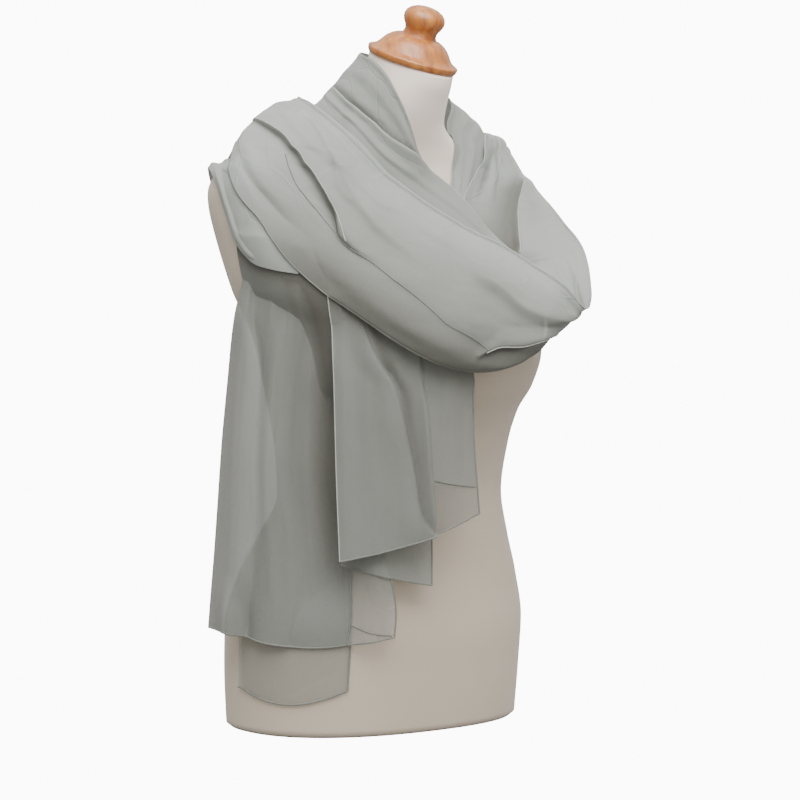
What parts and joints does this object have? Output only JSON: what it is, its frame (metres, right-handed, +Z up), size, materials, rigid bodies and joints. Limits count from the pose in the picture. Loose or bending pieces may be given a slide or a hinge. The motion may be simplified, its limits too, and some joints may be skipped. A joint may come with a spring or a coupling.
{
  "type": "evening stole on dress form",
  "caption": "Sheer grey-green chiffon stole wound round the neck of a limbless dress form with a turned wooden neck cap, a cowl across its chest and both ends hanging in front.",
  "frame": {"origin": "centre of the flat base on which the dress form stands", "axes": "+Z up, the form's front faces -Y, the wearer's right side is -X"},
  "size_m": [0.4162, 0.3614, 0.7735],
  "materials": {
    "form_jersey": "matte cream cotton jersey stretched over foam",
    "cap_wood": "turned beech with a clear satin varnish",
    "stole_chiffon": "sheer crepe chiffon with a soft sheen and narrow rolled hems"
  },
  "bodies": {
    "root": {"form_body": "form_jersey", "neck_cap": "cap_wood", "collar": "stole_chiffon", "inner_swag": "stole_chiffon", "front_swag": "stole_chiffon", "far_swag": "stole_chiffon", "back_swag": "stole_chiffon", "shoulder_band": "stole_chiffon", "tail_long": "stole_chiffon", "tail_long_under": "stole_chiffon", "tail_short": "stole_chiffon", "tail_short_under": "stole_chiffon"}
  },
  "joints": []
}
